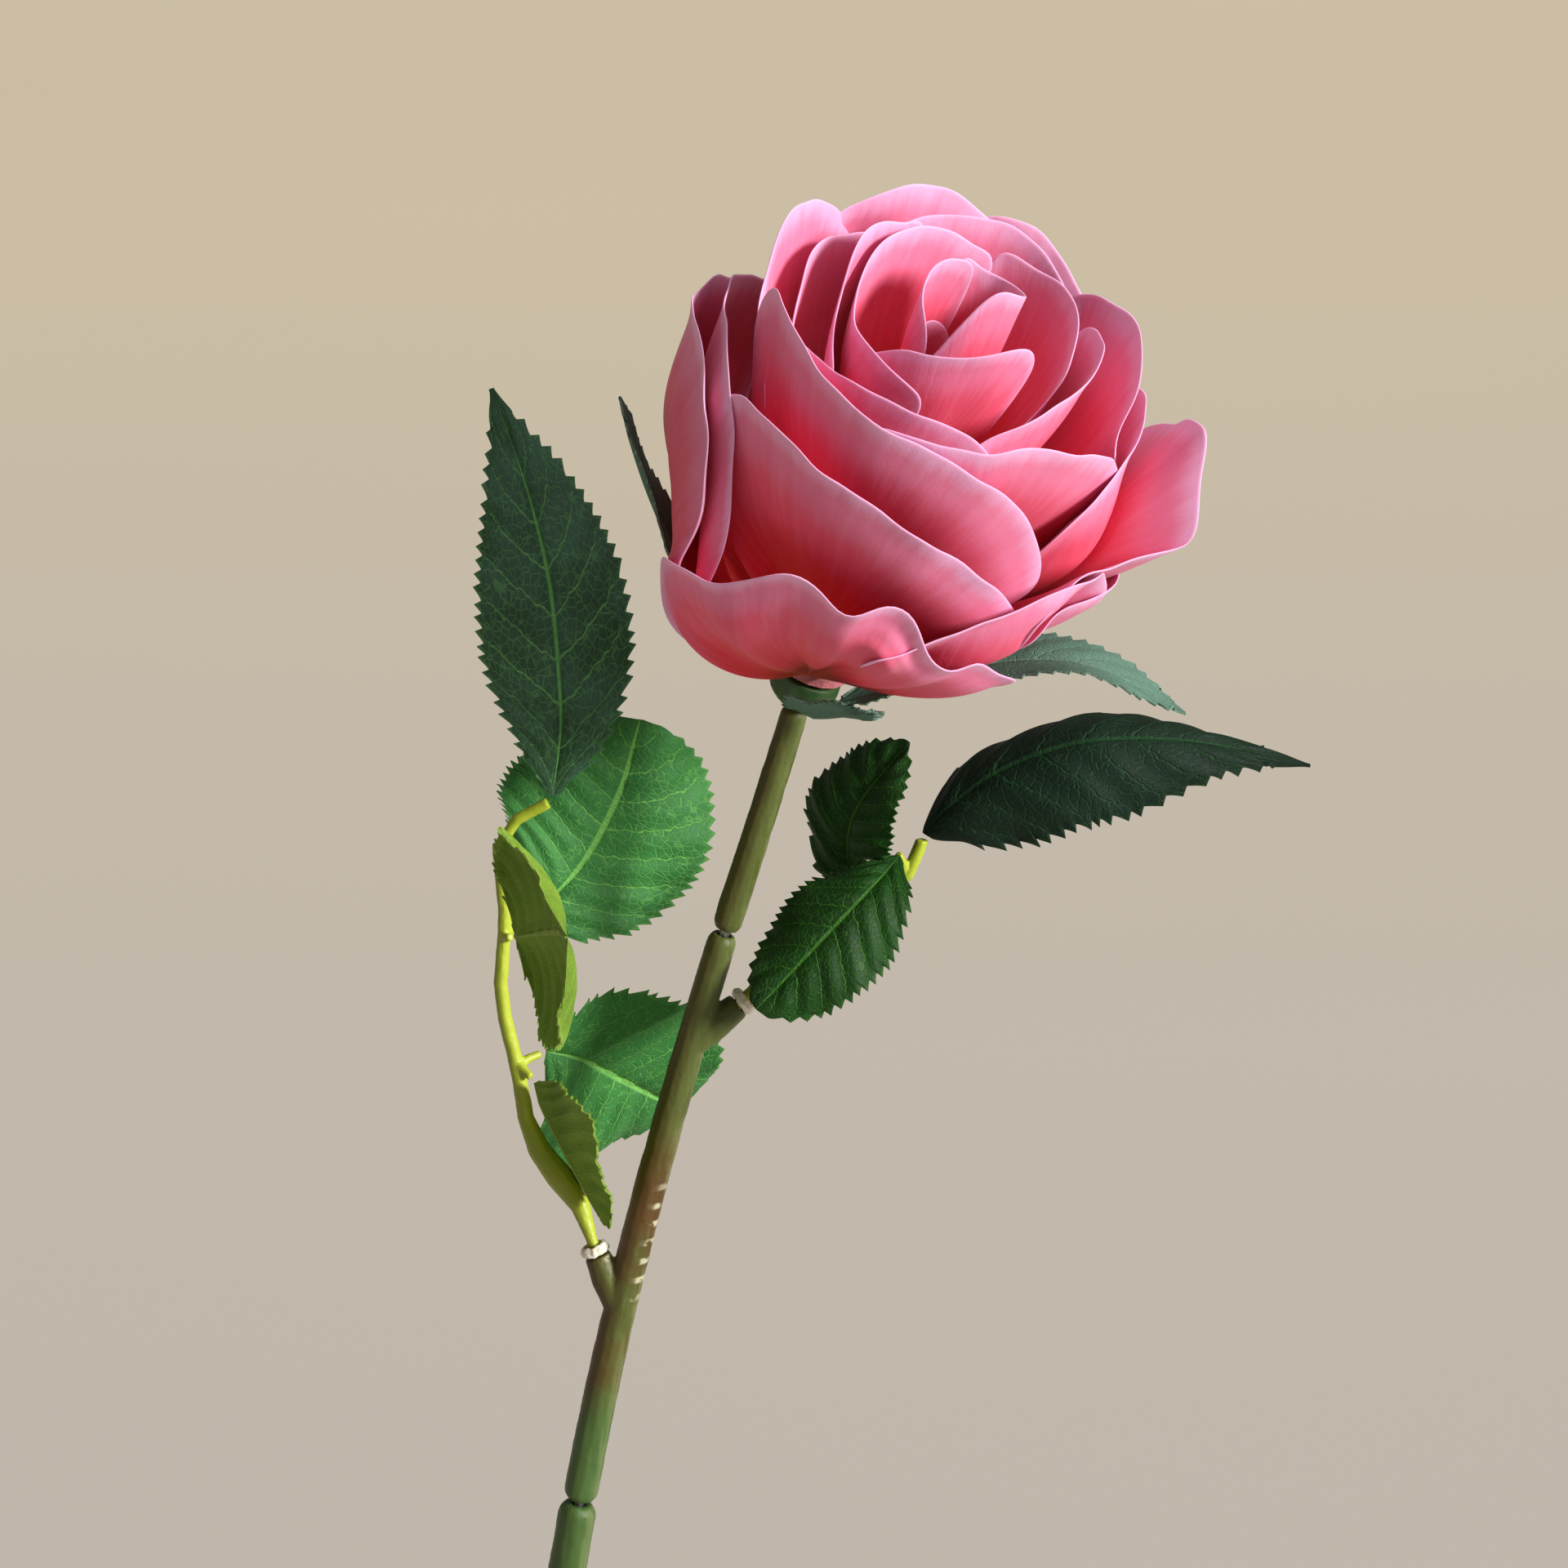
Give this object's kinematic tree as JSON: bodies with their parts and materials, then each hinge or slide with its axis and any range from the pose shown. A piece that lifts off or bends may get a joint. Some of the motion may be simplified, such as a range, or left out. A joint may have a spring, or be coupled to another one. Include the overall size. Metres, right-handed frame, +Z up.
{
  "type": "artificial rose in bud vase",
  "caption": "Single artificial garden rose in bloom on a leaning stem with two leaf sprays, standing in a plain narrow-necked ceramic bud vase.",
  "frame": {"origin": "centre of the vase's foot, on the surface it stands on", "axes": "+Z up; -Y is the front, the side the flower nods towards; +X is the viewer's right, the way the stem leans"},
  "size_m": [0.1633, 0.0936, 0.3906],
  "materials": {
    "vase_glaze": "glossy off-white glaze on ceramic",
    "wire": "bare drawn wire",
    "stem": "olive moulded plastic, browner on one side",
    "leaf_stalk": "yellow-green moulded plastic",
    "glue": "cloudy hot-melt glue",
    "dark_leaf": "printed cloth, dark bluish green with pale veins",
    "green_leaf": "printed cloth, mid green with yellow-green veins",
    "core": "soft foam",
    "petal": "soft matt moulded skin, pink with pale lilac edges",
    "cup": "green moulded plastic",
    "sepal": "dyed cloth, pale underneath"
  },
  "bodies": {
    "root": {"bud_vase": "vase_glaze", "stem_wire": "wire", "stem_sleeve_lower": "stem", "stem_sleeve_middle": "stem", "stem_sleeve_upper": "stem", "left_stalk": "leaf_stalk", "glue_bead_left": "glue", "left_leaf_1": "dark_leaf", "left_leaf_2": "green_leaf", "left_leaf_3": "green_leaf", "left_leaf_4": "green_leaf", "left_leaf_5": "green_leaf", "right_stalk": "leaf_stalk", "glue_bead_right": "glue", "right_leaf_1": "dark_leaf", "right_leaf_2": "green_leaf", "right_leaf_3": "green_leaf", "foam_core": "core", "petal_01": "petal", "petal_02": "petal", "petal_03": "petal", "petal_04": "petal", "petal_05": "petal", "petal_06": "petal", "petal_07": "petal", "petal_08": "petal", "petal_09": "petal", "petal_10": "petal", "petal_11": "petal", "petal_12": "petal", "petal_13": "petal", "petal_14": "petal", "petal_15": "petal", "petal_16": "petal", "petal_17": "petal", "petal_18": "petal", "petal_19": "petal", "petal_20": "petal", "petal_21": "petal", "petal_22": "petal", "petal_23": "petal", "petal_24": "petal", "petal_25": "petal", "petal_26": "petal", "petal_27": "petal", "petal_28": "petal", "flower_cup": "cup", "sepal_1": "sepal", "sepal_2": "sepal", "sepal_3": "sepal", "sepal_4": "sepal", "sepal_5": "sepal"}
  },
  "joints": []
}
